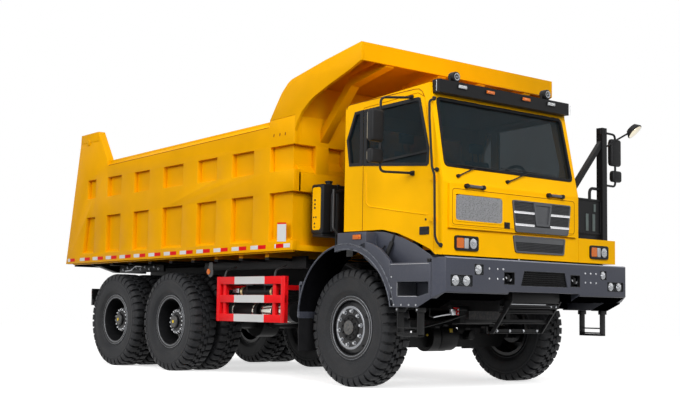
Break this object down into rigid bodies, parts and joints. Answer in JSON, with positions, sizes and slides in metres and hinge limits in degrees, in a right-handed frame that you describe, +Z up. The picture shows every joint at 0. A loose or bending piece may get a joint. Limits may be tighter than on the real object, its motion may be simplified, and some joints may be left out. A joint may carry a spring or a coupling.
{
  "type": "off-road dump truck",
  "caption": "Wide-body off-road dump truck with an offset cab, twin-tyred driven axles, a tipping load body with a canopy and an underbody hoist.",
  "frame": {"origin": "on the ground, midway along the truck's length and midway across its width", "axes": "+X forward, +Y to the driver's left, +Z up"},
  "size_m": [8.41, 4.0567, 3.9828],
  "materials": {
    "black_steel": "satin",
    "engine_iron": "satin",
    "slate_paint": "satin",
    "rubber_sheet": "matte",
    "guard_paint": "gloss",
    "black_plastic": "matte",
    "cab_yellow": "gloss",
    "tinted_glass": "gloss",
    "seat_fabric": "matte",
    "bed_yellow": "satin",
    "hoist_steel": "satin",
    "tyre_rubber": "matte",
    "wheel_black": "satin"
  },
  "bodies": {
    "chassis": {"front_axle": "black_steel", "rear_axles": "black_steel", "frame": "black_steel", "engine_block": "engine_iron", "springs": "black_steel", "propshafts": "black_steel", "bumper": "slate_paint", "tow_frame": "black_steel", "fenders": "slate_paint", "mudflaps": "rubber_sheet", "steps": "black_steel", "side_guards": "guard_paint", "air_tanks": "black_steel", "fuel_tank": "black_steel", "hydraulic_tank": "black_steel", "tail_bar": "black_steel", "deck": "black_steel", "mirror_post": "black_steel", "mirrors_left": "black_plastic", "cab_floor": "black_steel", "cab_front": "cab_yellow", "cab_roof": "cab_yellow", "cab_back": "cab_yellow", "cab_sides": "cab_yellow", "cab_glass": "tinted_glass", "visor_bar": "slate_paint", "seats": "seat_fabric", "dashboard": "black_plastic", "grab_rail": "black_steel"},
    "knuckle_right": {"knuckle_right": "black_steel"},
    "knuckle_left": {"knuckle_left": "black_steel"},
    "wheel_front_right": {"tyre_front_right": "tyre_rubber", "rim_front_right": "wheel_black"},
    "wheel_front_left": {"tyre_front_left": "tyre_rubber", "rim_front_left": "wheel_black"},
    "wheels_middle_right": {"tyres_middle_right": "tyre_rubber", "rims_middle_right": "wheel_black"},
    "wheels_middle_left": {"tyres_middle_left": "tyre_rubber", "rims_middle_left": "wheel_black"},
    "wheels_rear_right": {"tyres_rear_right": "tyre_rubber", "rims_rear_right": "wheel_black"},
    "wheels_rear_left": {"tyres_rear_left": "tyre_rubber", "rims_rear_left": "wheel_black"},
    "door_right": {"door_right": "cab_yellow", "door_right_glass": "tinted_glass", "mirrors_right": "black_plastic"},
    "door_left": {"door_left": "cab_yellow", "door_left_glass": "tinted_glass"},
    "front_flap": {"front_flap": "cab_yellow"},
    "bed": {"bed_sides": "bed_yellow", "bed_floor": "bed_yellow", "bed_runners": "bed_yellow", "bed_front": "bed_yellow", "bed_canopy": "bed_yellow"},
    "tailgate": {"tailgate": "bed_yellow"},
    "hoist_barrels": {"hoist_barrels": "hoist_steel"},
    "hoist_stages": {"hoist_stages": "hoist_steel"},
    "hoist_rods": {"hoist_rods": "hoist_steel"}
  },
  "joints": [
    {"name": "steer_right", "type": "hinge", "parent": "chassis", "child": "knuckle_right", "pos_m": [2.6, -1.2, 0.684], "axis": [0, 0, 1], "range_deg": [-28, 28]},
    {"name": "steer_left", "type": "hinge", "parent": "chassis", "child": "knuckle_left", "pos_m": [2.6, 1.2, 0.684], "axis": [0, 0, 1], "range_deg": [-28, 28]},
    {"name": "spin_front_right", "type": "hinge", "parent": "knuckle_right", "child": "wheel_front_right", "pos_m": [2.6, -1.3415, 0.684], "axis": [0, 1, 0], "continuous": true},
    {"name": "spin_front_left", "type": "hinge", "parent": "knuckle_left", "child": "wheel_front_left", "pos_m": [2.6, 1.3415, 0.684], "axis": [0, 1, 0], "continuous": true},
    {"name": "spin_middle_right", "type": "hinge", "parent": "chassis", "child": "wheels_middle_right", "pos_m": [-1.125, -1.251, 0.684], "axis": [0, 1, 0], "continuous": true},
    {"name": "spin_middle_left", "type": "hinge", "parent": "chassis", "child": "wheels_middle_left", "pos_m": [-1.125, 1.251, 0.684], "axis": [0, 1, 0], "continuous": true},
    {"name": "spin_rear_right", "type": "hinge", "parent": "chassis", "child": "wheels_rear_right", "pos_m": [-2.675, -1.251, 0.684], "axis": [0, 1, 0], "continuous": true},
    {"name": "spin_rear_left", "type": "hinge", "parent": "chassis", "child": "wheels_rear_left", "pos_m": [-2.675, 1.251, 0.684], "axis": [0, 1, 0], "continuous": true},
    {"name": "door_right_swing", "type": "hinge", "parent": "chassis", "child": "door_right", "pos_m": [3.958, -1.516, 2.1], "axis": [0, 0, 1], "range_deg": [0, 70]},
    {"name": "door_left_swing", "type": "hinge", "parent": "chassis", "child": "door_left", "pos_m": [3.958, 0.816, 2.1], "axis": [0, 0, -1], "range_deg": [0, 65]},
    {"name": "flap_lift", "type": "hinge", "parent": "chassis", "child": "front_flap", "pos_m": [4.11, -0.35, 2.285], "axis": [0, -1, 0], "range_deg": [0, 75]},
    {"name": "bed_tip", "type": "hinge", "parent": "chassis", "child": "bed", "pos_m": [-3.6, 0, 1.33], "axis": [0, -1, 0], "range_deg": [0, 45]},
    {"name": "tailgate_swing", "type": "hinge", "parent": "bed", "child": "tailgate", "pos_m": [-3.56, 0, 3.44], "axis": [0, 1, 0], "range_deg": [0, 60]},
    {"name": "hoist_tilt", "type": "hinge", "parent": "chassis", "child": "hoist_barrels", "pos_m": [-1.97, 0, 0.98], "axis": [0, -1, 0], "range_deg": [0, 62.8]},
    {"name": "hoist_stage_out", "type": "slide", "parent": "hoist_barrels", "child": "hoist_stages", "axis": [0.9177, 0, 0.3973], "range_m": [0, 0.5953]},
    {"name": "hoist_rod_out", "type": "slide", "parent": "hoist_stages", "child": "hoist_rods", "axis": [0.9177, 0, 0.3973], "range_m": [0, 0.5953]}
  ],
  "couplings": [
    {"joint": "steer_left", "follows": "steer_right", "ratio": 1},
    {"joint": "hoist_tilt", "follows": "bed_tip", "ratio": 1.3894},
    {"joint": "hoist_stage_out", "follows": "bed_tip", "m_per_rad": 0.7554},
    {"joint": "hoist_rod_out", "follows": "bed_tip", "m_per_rad": 0.7554}
  ]
}
